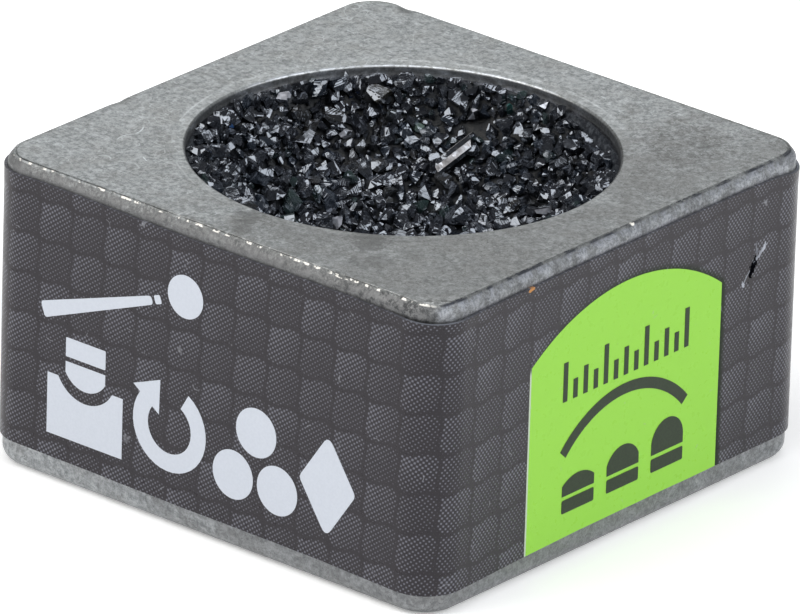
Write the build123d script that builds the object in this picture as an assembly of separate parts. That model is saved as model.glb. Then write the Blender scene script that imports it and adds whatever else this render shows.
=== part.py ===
from build123d import *
import math
import os
import random

# Cue-tip shaper and scuffer block, in millimetres. +Z is up and the origin is at the
# centre of the bottom face. The shaper dish opens upwards and the scuffer dish downwards.

# Cast block
BLOCK_W = 22.225  # 7/8 in across the flats
BLOCK_H = 12.7  # 1/2 in
CORNER_R = 1.6
TOP_CHAMFER = 0.33
BASE_FILLET = 0.6

# Dish mouths, alike at both ends
MOUTH_R = 8.3
MOUTH_CHAMFER = 0.1
RIM_WALL = 0.4  # bare straight wall between the mouth and the abrasive
LAND_R = 8.8  # machined ring round the mouth
LAND_DEPTH = 0.02

# Shaper dish: the crystals' points lie on a sphere of half a dime's diameter
SHAPER_TIP_R = 8.96
SHAPER_LINING = 0.44  # bond and crystals together
SHAPER_BOND = 0.15

# Scuffer dish
SCUFFER_METAL_DEPTH = 3.3
SCUFFER_BOND = 0.12

# Printed wrap
WRAP_T = 0.12
WRAP_BOTTOM = 1.08
WRAP_TOP = 12.28
SEAM_GAP = 0.15
SEAM_Y = 7.5  # the seam is on the -X face

# Crystals: mean width and height of the tallest above the bond
SHAPER_PITCH = 0.74
SHAPER_PEAK = 0.4
SCUFFER_PITCH = 0.62
SCUFFER_PEAK = 0.22
LOWEST_PEAK = 0.5  # share of the tallest
INSET_LEAST = 0.02  # how far a base corner is drawn in towards its crystal's middle
INSET_MOST = 0.15
TOP_LEAST = 0.3  # how far a top corner is drawn in
TOP_MOST = 0.75
CORNERS = 6  # of each crystal
THREE_CORNERED = 0.25  # share of crystals with a three-cornered base
SPACING_TRIES = 5  # more gives more even spacing
NEIGHBOURS = 16  # nearest crystals that can border one


def cap_centre_height(radius, rim):
    """Distance from a sphere's centre to the plane that cuts it in a circle of radius rim."""
    return math.sqrt(radius**2 - rim**2)


SHAPER_METAL_R = SHAPER_TIP_R + SHAPER_LINING
SHAPER_CENTRE_Z = BLOCK_H - RIM_WALL + cap_centre_height(SHAPER_METAL_R, MOUTH_R)
SCUFFER_SAG = SCUFFER_METAL_DEPTH - RIM_WALL
SCUFFER_METAL_R = (MOUTH_R**2 + SCUFFER_SAG**2) / (2 * SCUFFER_SAG)
SCUFFER_CENTRE_Z = SCUFFER_METAL_DEPTH - SCUFFER_METAL_R


def ball(radius, z):
    return Pos(0, 0, z) * Sphere(radius)


def disc(radius, low, high):
    return Pos(0, 0, low) * Cylinder(radius, high - low, align=(Align.CENTER, Align.CENTER, Align.MIN))


def mouth_cut():
    """Straight wall, chamfered edge and machined ring of a mouth that opens upwards at z = 0."""
    edge_low = -LAND_DEPTH - MOUTH_CHAMFER
    wall = disc(MOUTH_R, -RIM_WALL, 0)
    land = disc(LAND_R, -LAND_DEPTH, 0)
    edge = Cone(MOUTH_R, MOUTH_R + MOUTH_CHAMFER, MOUTH_CHAMFER, align=(Align.CENTER, Align.CENTER, Align.MIN))
    return wall + land + Pos(0, 0, edge_low) * edge


def shaper_bowl(radius):
    """The space of a given sphere radius under the shaper's straight wall."""
    return ball(radius, SHAPER_CENTRE_Z) & disc(BLOCK_W, 0, BLOCK_H - RIM_WALL)


def scuffer_bowl(radius):
    """The space of a given sphere radius above the scuffer's straight wall."""
    return ball(radius, SCUFFER_CENTRE_Z) & disc(BLOCK_W, RIM_WALL, BLOCK_H)


def make_block():
    body = extrude(RectangleRounded(BLOCK_W, BLOCK_W, CORNER_R), amount=BLOCK_H)
    body = chamfer(body.faces().sort_by(Axis.Z)[-1].edges(), TOP_CHAMFER)
    body = fillet(body.faces().sort_by(Axis.Z)[0].edges(), BASE_FILLET)
    body -= Pos(0, 0, BLOCK_H) * mouth_cut()
    body -= shaper_bowl(SHAPER_METAL_R)
    body -= Rot(180, 0, 0) * mouth_cut()
    body -= scuffer_bowl(SCUFFER_METAL_R)
    return body


def make_wrap():
    outside = RectangleRounded(BLOCK_W + 2 * WRAP_T, BLOCK_W + 2 * WRAP_T, CORNER_R + WRAP_T)
    inside = RectangleRounded(BLOCK_W, BLOCK_W, CORNER_R)
    wrap = Pos(0, 0, WRAP_BOTTOM) * extrude(outside - inside, amount=WRAP_TOP - WRAP_BOTTOM)
    seam = Box(4 * WRAP_T, SEAM_GAP, BLOCK_H, align=(Align.CENTER, Align.CENTER, Align.MIN))
    return wrap - Pos(-BLOCK_W / 2, SEAM_Y, 0) * seam


def direction(angle, turn):
    """Unit vector at an angle from straight down."""
    flat = math.sin(angle)
    return flat * math.cos(turn), flat * math.sin(turn), -math.cos(angle)


def dot(one, other):
    return sum(a * b for a, b in zip(one, other))


def tangents(turn, angle):
    """Two directions across a sphere at a spot on it: outwards from the pole, and round it."""
    return direction(angle + math.pi / 2, turn), (-math.sin(turn), math.cos(turn), 0)


def scatter(rng, cap_angle, sphere_r, pitch):
    """Well-spaced random spots on a spherical cap, as (angle from straight down, turn)."""
    area = 2 * math.pi * (1 - math.cos(cap_angle)) * sphere_r**2
    spots = []
    placed = []
    for _ in range(round(area / pitch**2)):
        best = None
        for _ in range(SPACING_TRIES):
            angle = math.acos(rng.uniform(math.cos(cap_angle), 1))
            turn = rng.uniform(0, 2 * math.pi)
            out = direction(angle, turn)
            nearest = max((dot(out, other) for other in placed), default=-1)
            if best is None or nearest < best[0]:
                best = (nearest, out, angle, turn)
        placed.append(best[1])
        spots.append(best[2:])
    return spots


def clip(outline, across, along, limit):
    """The part of a flat outline where across * u + along * v is at most limit."""
    kept = []
    for (u0, v0), (u1, v1) in zip(outline, outline[1:] + outline[:1]):
        room0 = limit - across * u0 - along * v0
        room1 = limit - across * u1 - along * v1
        if room0 >= 0:
            kept.append((u0, v0))
        if room0 * room1 < 0:
            share = room0 / (room0 - room1)
            kept.append((u0 + (u1 - u0) * share, v0 + (v1 - v0) * share))
    return kept


def cell(spot, placed, cap_angle):
    """Outline of the ground nearer to a spot than to any other, on the plane that touches it there."""
    angle, turn = spot
    here = direction(angle, turn)
    out, around = tangents(turn, angle)
    edge = direction(cap_angle - math.pi / 2, turn)
    outline = [(-1, -1), (1, -1), (1, 1), (-1, 1)]
    outline = clip(outline, -dot(edge, out), -dot(edge, around), dot(edge, here))
    nearest = sorted(placed, key=lambda other: -dot(here, other))
    for other in nearest[1:NEIGHBOURS]:
        outline = clip(outline, dot(other, out), dot(other, around), 1 - dot(other, here))
    return outline


def drawn_in(corner, middle, share):
    return tuple(a + (b - a) * share for a, b in zip(corner, middle))


def crystal(rng, spot, outline, sphere_r, peak):
    """A sharp crystal on a cell, whose base corners touch the inside of a sphere about the origin."""
    middle = tuple(sum(values) / len(outline) for values in zip(*outline))
    base_count = 3 if rng.random() < THREE_CORNERED else 4
    first = rng.randrange(len(outline))
    picked = [outline[(first + len(outline) * i // base_count) % len(outline)] for i in range(base_count)]
    base = [drawn_in(corner, middle, rng.uniform(INSET_LEAST, INSET_MOST)) for corner in picked]
    above = rng.sample(picked, CORNERS - base_count)
    top = [drawn_in(corner, middle, rng.uniform(TOP_LEAST, TOP_MOST)) for corner in above]
    angle, turn = spot
    here = Vector(direction(angle, turn))
    out, around = tangents(turn, angle)
    points = []
    for corners, lift in ((base, 0), (top, peak)):
        for u, v in corners:
            aim = here + Vector(out) * u + Vector(around) * v
            points.append(aim * ((sphere_r - lift * rng.uniform(LOWEST_PEAK, 1)) / aim.length))
    return ConvexPolyhedron(points)


def make_grit(seed, sphere_r, cap_angle, pitch, peak):
    rng = random.Random(seed)
    spots = scatter(rng, cap_angle, sphere_r, pitch)
    placed = [direction(angle, turn) for angle, turn in spots]
    return [crystal(rng, spot, cell(spot, placed, cap_angle), sphere_r, peak) for spot in spots]


def shaper_parts():
    bond_r = SHAPER_METAL_R - SHAPER_BOND
    bond = shaper_bowl(SHAPER_METAL_R) - ball(bond_r, SHAPER_CENTRE_Z)
    cap_angle = math.acos((SHAPER_CENTRE_Z - BLOCK_H + RIM_WALL) / bond_r)
    crystals = make_grit(353, bond_r, cap_angle, SHAPER_PITCH, SHAPER_PEAK)
    return bond, Compound(children=[Pos(0, 0, SHAPER_CENTRE_Z) * item for item in crystals])


def scuffer_parts():
    bond_r = SCUFFER_METAL_R - SCUFFER_BOND
    bond = scuffer_bowl(SCUFFER_METAL_R) - ball(bond_r, SCUFFER_CENTRE_Z)
    cap_angle = math.acos((RIM_WALL - SCUFFER_CENTRE_Z) / bond_r)
    crystals = make_grit(77, bond_r, cap_angle, SCUFFER_PITCH, SCUFFER_PEAK)
    turned = [Pos(0, 0, SCUFFER_CENTRE_Z) * Rot(180, 0, 0) * item for item in crystals]
    return bond, Compound(children=turned)


os.makedirs("parts", exist_ok=True)
shaper_bond, shaper_grit = shaper_parts()
scuffer_bond, scuffer_grit = scuffer_parts()
export_step(make_block(), "parts/block.step")
export_step(make_wrap(), "parts/wrap_label.step")
export_step(shaper_bond, "parts/shaper_bond.step")
export_step(shaper_grit, "parts/shaper_grit.step")
export_step(scuffer_bond, "parts/scuffer_bond.step")
export_step(scuffer_grit, "parts/scuffer_grit.step")
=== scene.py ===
import itertools
import math
import random
from functools import partialmethod

import bmesh
import bpy
from mathutils import Matrix, Quaternion, Vector, noise


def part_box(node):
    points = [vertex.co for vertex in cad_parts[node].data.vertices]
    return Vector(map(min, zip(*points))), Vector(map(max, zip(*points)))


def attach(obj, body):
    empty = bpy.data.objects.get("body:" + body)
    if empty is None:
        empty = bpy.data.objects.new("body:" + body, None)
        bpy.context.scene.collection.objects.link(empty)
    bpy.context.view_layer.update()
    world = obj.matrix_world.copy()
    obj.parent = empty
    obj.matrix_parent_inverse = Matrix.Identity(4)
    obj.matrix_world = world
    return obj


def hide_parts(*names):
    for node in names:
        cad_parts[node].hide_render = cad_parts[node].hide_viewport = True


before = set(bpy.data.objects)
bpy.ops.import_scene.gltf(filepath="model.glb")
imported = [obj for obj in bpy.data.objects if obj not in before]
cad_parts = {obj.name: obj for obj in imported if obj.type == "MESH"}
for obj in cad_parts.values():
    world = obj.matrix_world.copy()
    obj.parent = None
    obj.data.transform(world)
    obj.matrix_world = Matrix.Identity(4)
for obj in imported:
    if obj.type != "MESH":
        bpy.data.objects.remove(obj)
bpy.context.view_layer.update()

# Everything below is worked out in millimetres and made in metres.
MM = 0.001
block_low, block_high = (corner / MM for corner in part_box("block"))
wrap_low, wrap_high = (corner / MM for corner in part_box("wrap_label"))
shaper_low, shaper_high = (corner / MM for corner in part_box("shaper_bond"))
scuffer_low, scuffer_high = (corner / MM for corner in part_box("scuffer_bond"))

WIDTH = block_high.x - block_low.x
HEIGHT = block_high.z
HALF = WIDTH / 2
CORNER = 1.6
CREASE = 0.33  # from the side to where the flat top begins
BASE_ROUND = 0.6
BASE_STEPS = 8
MOUTH = shaper_high.x  # radius of both mouths
LAND = 8.8  # radius of the machined ring round a mouth
LAND_DEPTH = 0.02
WRAP_T = wrap_high.x - block_high.x


class Bowl:
    """The part of a sphere that fills a mouth. up is 1 where it opens upwards and -1 where downwards."""

    def __init__(self, rim_z, deepest_z, resin):
        sag = abs(rim_z - deepest_z)
        self.radius = (MOUTH**2 + sag**2) / (2 * sag)
        self.centre_z = deepest_z + math.copysign(self.radius, rim_z - deepest_z)
        self.rim_z = rim_z
        self.resin = resin  # thickness of the resin
        self.up = 1 if self.centre_z > rim_z else -1

    def rim_drop(self):
        """How far the rim lies from the level of the centre."""
        return abs(self.centre_z - self.rim_z)


SHAPER = Bowl(shaper_high.z, shaper_low.z, 0.15)
SCUFFER = Bowl(scuffer_low.z, scuffer_high.z, 0.12)


# ---- node helpers


MIX_COLOURS = (6, 7)  # the Mix node's two colour sockets


class Graph:
    """A material made of nodes, with short calls for the common ones."""

    def __init__(self, name):
        self.material = bpy.data.materials.new(name)
        self.material.use_nodes = True
        self.tree = self.material.node_tree
        self.shader = self.tree.nodes["Principled BSDF"]

    def feed(self, socket, value):
        if isinstance(value, bpy.types.NodeSocket):
            self.tree.links.new(value, socket)
        elif value is not None:
            socket.default_value = value

    def node(self, kind, inputs=(), **settings):
        made = self.tree.nodes.new(kind)
        for key, value in settings.items():
            setattr(made, key, value)
        for key, value in dict(inputs).items():
            self.feed(made.inputs[key], value)
        return made

    def math(self, operation, *numbers, clamp=False):
        made = self.node("ShaderNodeMath", operation=operation, use_clamp=clamp)
        for socket, value in zip(made.inputs, numbers):
            self.feed(socket, value)
        return made.outputs[0]

    plus = partialmethod(math, "ADD")
    minus = partialmethod(math, "SUBTRACT")
    times = partialmethod(math, "MULTIPLY")
    scaled = partialmethod(math, "MULTIPLY_ADD")
    most = partialmethod(math, "MAXIMUM")

    def reach(self, a, b):
        """The long side of a right-angled triangle."""
        return self.math("SQRT", self.plus(self.math("POWER", a, 2.0), self.math("POWER", b, 2.0)))

    def step(self, value, low, high, out_low=0.0, out_high=1.0):
        """A smooth ramp from out_low at low to out_high at high."""
        made = self.node("ShaderNodeMapRange", interpolation_type="SMOOTHSTEP")
        for socket, number in zip(made.inputs, (value, low, high, out_low, out_high)):
            self.feed(socket, number)
        return made.outputs[0]

    def fall(self, value, low, high, from_top=1.0):
        return self.step(value, low, high, from_top, 0.0)

    def mix(self, factor, *colours):
        made = self.node("ShaderNodeMix", {"Factor": factor}, data_type="RGBA")
        for socket, colour in zip(MIX_COLOURS, colours):
            self.feed(made.inputs[socket], rgba(colour))
        return made.outputs[2]

    def place(self):
        """The object's own coordinates, in millimetres."""
        coordinates = self.node("ShaderNodeTexCoord").outputs["Object"]
        return self.vector("SCALE", coordinates, scale=1 / MM)

    def vector(self, operation, a, b=None, scale=None):
        made = self.node("ShaderNodeVectorMath", operation=operation)
        self.feed(made.inputs[0], a)
        self.feed(made.inputs[1], b)
        if scale is not None:
            made.inputs["Scale"].default_value = scale
        return made.outputs["Value" if operation in ("DOT_PRODUCT", "LENGTH", "DISTANCE") else "Vector"]

    def split(self, vector):
        return self.node("ShaderNodeSeparateXYZ", {"Vector": vector}).outputs

    def noise(self, where, scale, detail=3.0, rough=0.55):
        inputs = {"Vector": where, "Scale": scale, "Detail": detail, "Roughness": rough}
        return self.node("ShaderNodeTexNoise", inputs).outputs["Fac"]

    def cells(self, where, scale):
        return self.node("ShaderNodeTexVoronoi", {"Vector": where, "Scale": scale}).outputs

    def attribute(self, name, output="Vector"):
        return self.node("ShaderNodeAttribute", attribute_name=name).outputs[output]

    def stretch(self, where, x, y, z):
        return self.vector("MULTIPLY", where, (x, y, z))

    def curl(self, where, scale, width, patch_scale, patch_low, patch_high):
        """Short thin curved lines: the contours of a smooth noise, kept in patches."""
        lines = self.math("ABSOLUTE", self.minus(self.noise(where, scale, 1.0), 0.5))
        patches = self.step(self.noise(where, patch_scale, 2.0), patch_low, patch_high)
        return self.times(self.fall(lines, 0.0, width), patches)

    def bump(self, height, distance, strength=1.0, normal=None):
        """A bumped normal. distance is in millimetres."""
        inputs = {"Height": height, "Distance": distance * MM, "Strength": strength, "Normal": normal}
        return self.node("ShaderNodeBump", inputs).outputs["Normal"]

    def finish(self, **values):
        for key, value in values.items():
            self.feed(self.shader.inputs[key.replace("_", " ")], value)
        return self.material


def rgba(value):
    if isinstance(value, tuple) and len(value) == 3:
        return (*value, 1.0)
    return value


# ---- materials


def edge_distance(g, where, half, corner):
    """Distance outside a rounded square seen from above, negative inside it."""
    over = [g.minus(g.math("ABSOLUTE", g.split(where)[axis]), half - corner) for axis in "XY"]
    reach = g.reach(*(g.most(value, 0.0) for value in over))
    inside = g.math("MINIMUM", g.most(*over), 0.0)
    return g.minus(g.plus(reach, inside), corner)


def near(g, value, middle, flat, soft):
    """1 where a value is within flat of the middle, falling to 0 over soft."""
    off = g.minus(g.math("ABSOLUTE", g.minus(value, middle)), flat)
    return g.fall(off, 0.0, soft)


SCRATCHES = (  # (centre x, y and radius of a bend, its middle x, y, how far it runs from there, strength)
    (-7.58, -8.68, 0.3, -7.61, -8.38, 0.42, 0.75),
    (-7.74, -6.55, 0.746, -8.47, -6.45, 0.6, 0.7),
    (-9.4, -5.95, 1.12, -8.33, -5.6, 0.46, 0.9),
    (-5.43, -5.86, 2.0, -6.4, -7.61, 0.26, 0.9),
    (9.17, 10.1, 4.0, 5.17, 10.1, 0.6, 0.5),
    (2.29, 11.21, 2.0, 2.29, 9.21, 0.14, 1.0),
    (-9.6, -3.9, 0.9, -8.95, -4.5, 0.4, 0.5),
    (-6.9, -9.6, 1.5, -6.2, -8.3, 0.35, 0.4),
)


def scratches(g, where):
    """Single pale scratches on the top, each a short bend."""
    flat = g.stretch(where, 1, 1, 0)
    together = 0.0
    for x, y, radius, middle_x, middle_y, reach, strength in SCRATCHES:
        line = near(g, g.vector("DISTANCE", flat, (x, y, 0.0)), radius, 0.01, 0.035)
        from_middle = g.vector("DISTANCE", flat, (middle_x, middle_y, 0.0))
        together = g.most(together, g.times(line, g.fall(from_middle, reach * 0.6, reach, strength)))
    return together


SMUDGES = (  # (x, y, radius, strength) of dark finger marks on the top
    (0.05, -8.85, 0.36, 0.5),
    (0.3, -9.4, 0.34, 0.6),
    (0.7, -10.1, 0.3, 0.55),
    (4.75, -7.55, 0.62, 0.65),
    (5.1, -8.0, 0.5, 0.55),
    (6.4, -8.9, 0.45, 0.35),
    (5.9, -9.5, 0.4, 0.3),
)


def smudges(g, where):
    """Ragged dark marks on the flat top."""
    flat = g.stretch(where, 1, 1, 0)
    ragged = g.times(g.minus(g.noise(where, 2.6, 4.0, 0.75), 0.5), 2.4)
    together = 0.0
    for x, y, radius, strength in SMUDGES:
        off = g.plus(g.vector("DISTANCE", flat, (x, y, 0.0)), ragged)
        together = g.most(together, g.fall(off, radius, radius + 0.2, strength))
    return together


GRAIN_DARK, GRAIN_PALE = (0.195, 0.21, 0.21), (0.555, 0.575, 0.58)
BLOTCH = (0.34, 0.34, 0.325)
PIT = (0.12, 0.125, 0.125)
MACHINED, MACHINED_EDGE = (0.50, 0.52, 0.52), (0.75, 0.78, 0.79)
DARK_HAIR, PALE_HAIR = (0.09, 0.095, 0.09), (0.70, 0.74, 0.75)
STAIN = (0.12, 0.12, 0.115)
# Blotchy wear and painted shade, darker towards the front right.
WEAR_AND_SHADE = (0.14, 0.14, 0.135)
SMUDGE = (0.12, 0.122, 0.12)
# Painted shade on the metal near the base.
BASE_SHADE = (0.10, 0.105, 0.14)
WALL_DARK, WALL_BARE, WALL_RUST = (0.07, 0.075, 0.09), (0.44, 0.46, 0.52), (0.08, 0.07, 0.06)
SHADED_DARK, SHADED_BARE = (0.018, 0.019, 0.022), (0.10, 0.103, 0.112)
# Painted highlight along the back of a mouth's edge.
LIP_HIGHLIGHT = (0.62, 0.65, 0.69)


def cast_metal():
    """Tumbled zinc casting, with a rubbed top edge carrying painted shade, painted light and painted glints,
    a painted highlight along the back of each mouth's lip, painted shade towards the base and a dull wall
    inside the mouths, in painted shade on its near side.
    """
    g = Graph("tumbled_zinc")
    where = g.place()
    z = g.split(where)["Z"]
    radius = g.vector("LENGTH", g.stretch(where, 1, 1, 0))
    grain = g.noise(where, 5.0, 5.0, 0.78)
    blotch = g.noise(where, 0.9, 3.0, 0.6)
    fine = g.noise(where, 16.0, 2.0, 0.6)
    pits = g.times(g.step(fine, 0.58, 0.7), g.step(blotch, 0.4, 0.65, 0.3, 1.0))
    colour, hairs = tumbled_colour(g, where, radius, grain, blotch, pits)
    # painted shade, dark and bluish, on the metal below the film
    colour = g.mix(g.fall(z, 1.3, 1.4, 0.22), colour, BASE_SHADE)
    colour, glint, pitted = top_edge_colour(g, where, z, colour)
    wall, backwards = mouth_wall(g, where, fine)
    # painted highlight along the mouth's edge on the far side
    lip_highlight = g.times(near(g, radius, MOUTH + 0.055, 0.025, 0.03), g.step(backwards, 4.6, 6.6))
    lip_highlight = g.times(lip_highlight, g.step(g.noise(where, 2.2, 4.0, 0.75), 0.38, 0.56, 0.0, 0.8))
    colour = g.mix(lip_highlight, colour, LIP_HIGHLIGHT)
    colour = g.mix(g.fall(radius, MOUTH - 0.02, MOUTH + 0.02), colour, wall)
    rough = g.plus(g.step(grain, 0.3, 0.7, 0.5, 0.36), g.times(pits, 0.2))
    rough = g.plus(rough, g.times(pitted, 0.35))
    rough = g.minus(rough, g.times(glint, 0.2))
    height = g.plus(g.times(grain, 0.6), g.times(fine, 0.5))
    height = g.minus(height, g.times(hairs, 0.2))
    height = g.plus(height, g.times(pitted, 2.5))
    # less metallic where glints are painted, so that the painted highlights show white
    metallic = g.scaled(glint, -0.6, 0.85)
    normal = g.bump(height, 0.014, 0.5)
    return g.finish(Base_Color=colour, Metallic=metallic, Roughness=rough, Normal=normal)


def tumbled_colour(g, where, radius, grain, blotch, pits):
    """(colour, hairs) of the skin: fine mottle, a machined ring, curved scratches, a stain, smudges, and
    blotchy wear with painted shade that darkens the top towards the front right.
    """
    side = g.vector("DOT_PRODUCT", where, (0.93, -0.45, 0.0))
    # wear in blotches, with painted shade growing towards the front right
    wear_and_shade = g.step(g.plus(g.times(side, 0.05), g.times(blotch, 1.2)), 0.35, 1.15)
    colour = g.mix(g.step(grain, 0.3, 0.7), GRAIN_DARK, GRAIN_PALE)
    colour = g.mix(g.step(blotch, 0.4, 0.7, 0.0, 0.4), colour, BLOTCH)
    colour = g.mix(g.times(pits, g.step(wear_and_shade, 0.2, 0.8, 0.5, 0.95)), colour, PIT)
    land = g.times(g.step(radius, MOUTH, MOUTH + 0.1), g.fall(radius, LAND - 0.05, LAND + 0.1))
    colour = g.mix(g.times(land, 0.14), colour, MACHINED)
    stain = g.vector("DISTANCE", g.stretch(where, 1, 1, 0), (7.6, 7.7, 0.0))
    stain = g.fall(g.plus(stain, g.times(g.noise(where, 0.8, 3.0, 0.7), 4.0)), 2.6, 4.6)
    dark = g.most(g.curl(where, 1.7, 0.03, 0.8, 0.45, 0.58), g.curl(where, 3.4, 0.045, 1.3, 0.45, 0.58))
    dark = g.times(dark, g.plus(g.step(wear_and_shade, 0.1, 0.7, 0.12, 0.5), g.times(stain, 0.4)))
    colour = g.mix(dark, colour, DARK_HAIR)
    stain = g.times(stain, g.step(grain, 0.35, 0.65, 1.0, 0.3))
    colour = g.mix(g.times(stain, 0.5), colour, STAIN)
    pale = g.most(g.curl(where, 1.3, 0.024, 0.9, 0.54, 0.6), g.curl(where, 2.4, 0.04, 1.7, 0.56, 0.64))
    pale = g.times(pale, g.step(wear_and_shade, 0.3, 0.9, 0.55, 0.25))
    pale = g.most(pale, scratches(g, where))
    colour = g.mix(pale, colour, PALE_HAIR)
    ring = g.times(near(g, radius, LAND, 0.01, 0.05), g.step(g.noise(where, 0.5, 4.0, 0.7), 0.44, 0.6))
    colour = g.mix(g.times(ring, 0.4), colour, MACHINED_EDGE)
    # painted shade towards the front right, with blotchy wear
    colour = g.mix(g.times(wear_and_shade, 0.5), colour, WEAR_AND_SHADE)
    smear_at = g.vector("LENGTH", g.vector("SUBTRACT", g.stretch(where, 0.5, 1.0, 0.0), (1.2, -9.0, 0.0)))
    smear = g.fall(g.plus(smear_at, g.times(grain, 1.6)), 1.0, 2.2, 0.22)
    return g.mix(g.most(smear, smudges(g, where)), colour, SMUDGE), g.plus(dark, pale)


def mouth_wall(g, where, fine):
    """(colour, how far backwards) of the straight wall in a mouth, in painted shade on its near side that
    fades out towards the far side.
    """
    streaks = g.noise(g.stretch(where, 2.0, 2.0, 6.0), 1.0, 4.0, 0.8)
    bare = g.step(g.plus(streaks, g.times(fine, 0.5)), 0.55, 0.95)
    rust = g.step(g.noise(where, 1.1, 3.0), 0.5, 0.7, 0.0, 0.6)
    wall = g.mix(rust, g.mix(bare, WALL_DARK, WALL_BARE), WALL_RUST)
    backwards = g.vector("DOT_PRODUCT", where, (-0.64, 0.77, 0.0))
    shaded = g.mix(bare, SHADED_DARK, SHADED_BARE)
    return g.mix(g.fall(backwards, 3.0, 7.6, 0.85), wall, shaded), backwards


NOTCH_GLINT = (10.87, 0.5, 12.68)  # a knock on the +X edge, with a painted highlight
# Painted shade in the crease round the flat top, on the -Y and the +X sides.
CREASE_SHADE_FRONT, CREASE_SHADE_RIGHT = (0.02, 0.02, 0.022), (0.045, 0.05, 0.065)
# The chamfer band under the crease in painted light: a lighter bluish lit copy on the +X side and a darker
# shaded copy with rubbed patches on the -Y side, each painted lighter towards the film.
BLUISH_LIT, BLUISH_LIT_LOW = (0.40, 0.42, 0.46), (0.56, 0.58, 0.62)
RUBBED_SHADED, RUBBED_SHADED_LOW = (0.225, 0.228, 0.23), (0.27, 0.272, 0.275)
FILM_SHADE = (0.05, 0.05, 0.055)
SPECK = (0.06, 0.062, 0.068)
SOIL = (0.05, 0.052, 0.055)
# Painted highlights on the rubbed bead and on the knock.
GLINT = (0.95, 0.92, 0.86)


def top_edge_colour(g, where, z, colour):
    """(colour, glint, pitting) with painted shade in the crease round the flat top, painted glints on the
    rubbed bead beyond it, the chamfer band below in painted light (lighter and bluish on the +X side, darker
    on the -Y side) and painted shade just above the film.
    """
    out = g.plus(edge_distance(g, where, HALF, CORNER), CREASE)
    high = g.step(z, HEIGHT - 1.0, HEIGHT - 0.9)
    patchy = g.noise(where, 1.6, 4.0, 0.7)
    coarse = g.noise(where, 0.9, 2.0)
    right = g.step(g.split(where)["X"], HALF - 0.7, HALF - 0.35)
    front = g.step(g.times(g.split(where)["Y"], -1.0), HALF - 0.7, HALF - 0.35)
    left_only = g.minus(1.0, right)
    spread = g.times(g.times(g.minus(patchy, 0.5), right), 0.22)
    spread = g.plus(spread, g.scaled(right, 0.05, 0.012))
    # painted shade in the crease round the flat top, wider, patchy and bluish on the +X side
    crease_shade = near(g, out, g.scaled(right, 0.06, 0.03), spread, 0.03)
    crease_shade = g.times(g.times(crease_shade, high), g.most(right, front))
    crease_shade = g.times(crease_shade, g.step(g.plus(patchy, coarse), 0.85, 1.1, 0.15, 0.9))
    colour = g.mix(crease_shade, colour, g.mix(right, CREASE_SHADE_FRONT, CREASE_SHADE_RIGHT))
    band = g.times(g.step(out, 0.12, 0.16), high)
    # painted light: the +X side's band lighter and bluish, and lighter still towards the film
    bluish_lit = g.times(g.times(band, right), g.step(patchy, 0.4, 0.6, 0.25, 0.85))
    colour = g.mix(bluish_lit, colour, g.mix(g.step(out, 0.2, CREASE), BLUISH_LIT, BLUISH_LIT_LOW))
    under = g.times(near(g, out, CREASE - 0.01, 0.01, 0.03), g.step(coarse, 0.4, 0.6, 0.0, 0.25))
    colour = g.mix(g.times(under, high), colour, FILM_SHADE)
    specks = g.step(g.noise(where, 8.0, 3.0, 0.7), 0.42, 0.6, 0.0, 0.75)
    colour = g.mix(g.times(g.times(band, specks), g.scaled(right, -0.45, 0.95)), colour, SPECK)
    # painted shade with rubbed patches: the -Y side's band darker, and painted lighter towards the film
    band = g.times(g.times(band, left_only), g.scaled(front, 0.6, 0.4))
    rubbed_shaded = g.mix(g.step(out, 0.14, CREASE), RUBBED_SHADED, RUBBED_SHADED_LOW)
    colour = g.mix(g.times(band, g.step(patchy, 0.38, 0.6, 0.5, 0.93)), colour, rubbed_shaded)
    soiled = g.times(g.step(g.split(where)["X"], 3.0, 9.5, 0.15, 0.75), g.times(front, high))
    soiled = g.times(soiled, g.step(g.noise(where, 3.5, 5.0, 0.75), 0.46, 0.6))
    colour = g.mix(g.times(soiled, g.step(out, 0.04, 0.12)), colour, SOIL)
    # painted glints in spots along the bead on the -Y side, and a painted highlight on the knock
    glint_spots = g.step(g.noise(where, 3.2, 2.0), 0.54, 0.6)
    glint = g.times(near(g, out, 0.095, 0.035, 0.03), g.times(high, g.times(front, left_only)))
    notch_glint = g.fall(g.vector("DISTANCE", where, NOTCH_GLINT), 0.07, 0.12)
    glint = g.most(g.times(glint, glint_spots), notch_glint)
    pitted = g.times(g.times(g.step(out, 0.03, 0.1), high), g.noise(where, 7.0, 3.0, 0.7))
    return g.mix(glint, colour, GLINT), glint, pitted


CELL = 1.634  # pitch of the printed weave
CELL_START = (-8.48, 1.8)  # a corner of one cell of the weave
SCREEN = 1 / 0.1533  # printed dots per millimetre
SCREEN_TURN = math.radians(36.9)
INK, INK_WARM, DOT = (0.0295, 0.0265, 0.0315), (0.037, 0.033, 0.038), (0.182, 0.185, 0.219)
FRINGE, PALE_EDGE = (0.016, 0.026, 0.012), (0.52, 0.60, 0.48)
LIME, LIME_PALE = (0.297, 0.66, 0.058), (0.322, 0.687, 0.071)
DUST, CUT_EDGE = (0.42, 0.43, 0.47), (0.14, 0.15, 0.175)
TEAR, RUST = (0.002, 0.002, 0.003), (0.50, 0.22, 0.06)
PANEL_HALF = 5.64
PANEL_TOP = 10.64
PANEL_ARC = 9.4
FRAYED = (  # (middle, half width and half height, turn in degrees, paleness) of strands of torn film
    ((7.98, 9.3), (0.09, 0.42), -52, 0.28),
    ((7.72, 9.42), (0.05, 0.26), 8, 0.16),
    ((8.15, 9.45), (0.06, 0.2), -20, 0.40),
    ((7.14, 8.52), (0.04, 0.32), -38, 0.22),
    ((6.95, 8.24), (0.07, 0.13), 20, 0.36),
)


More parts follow.
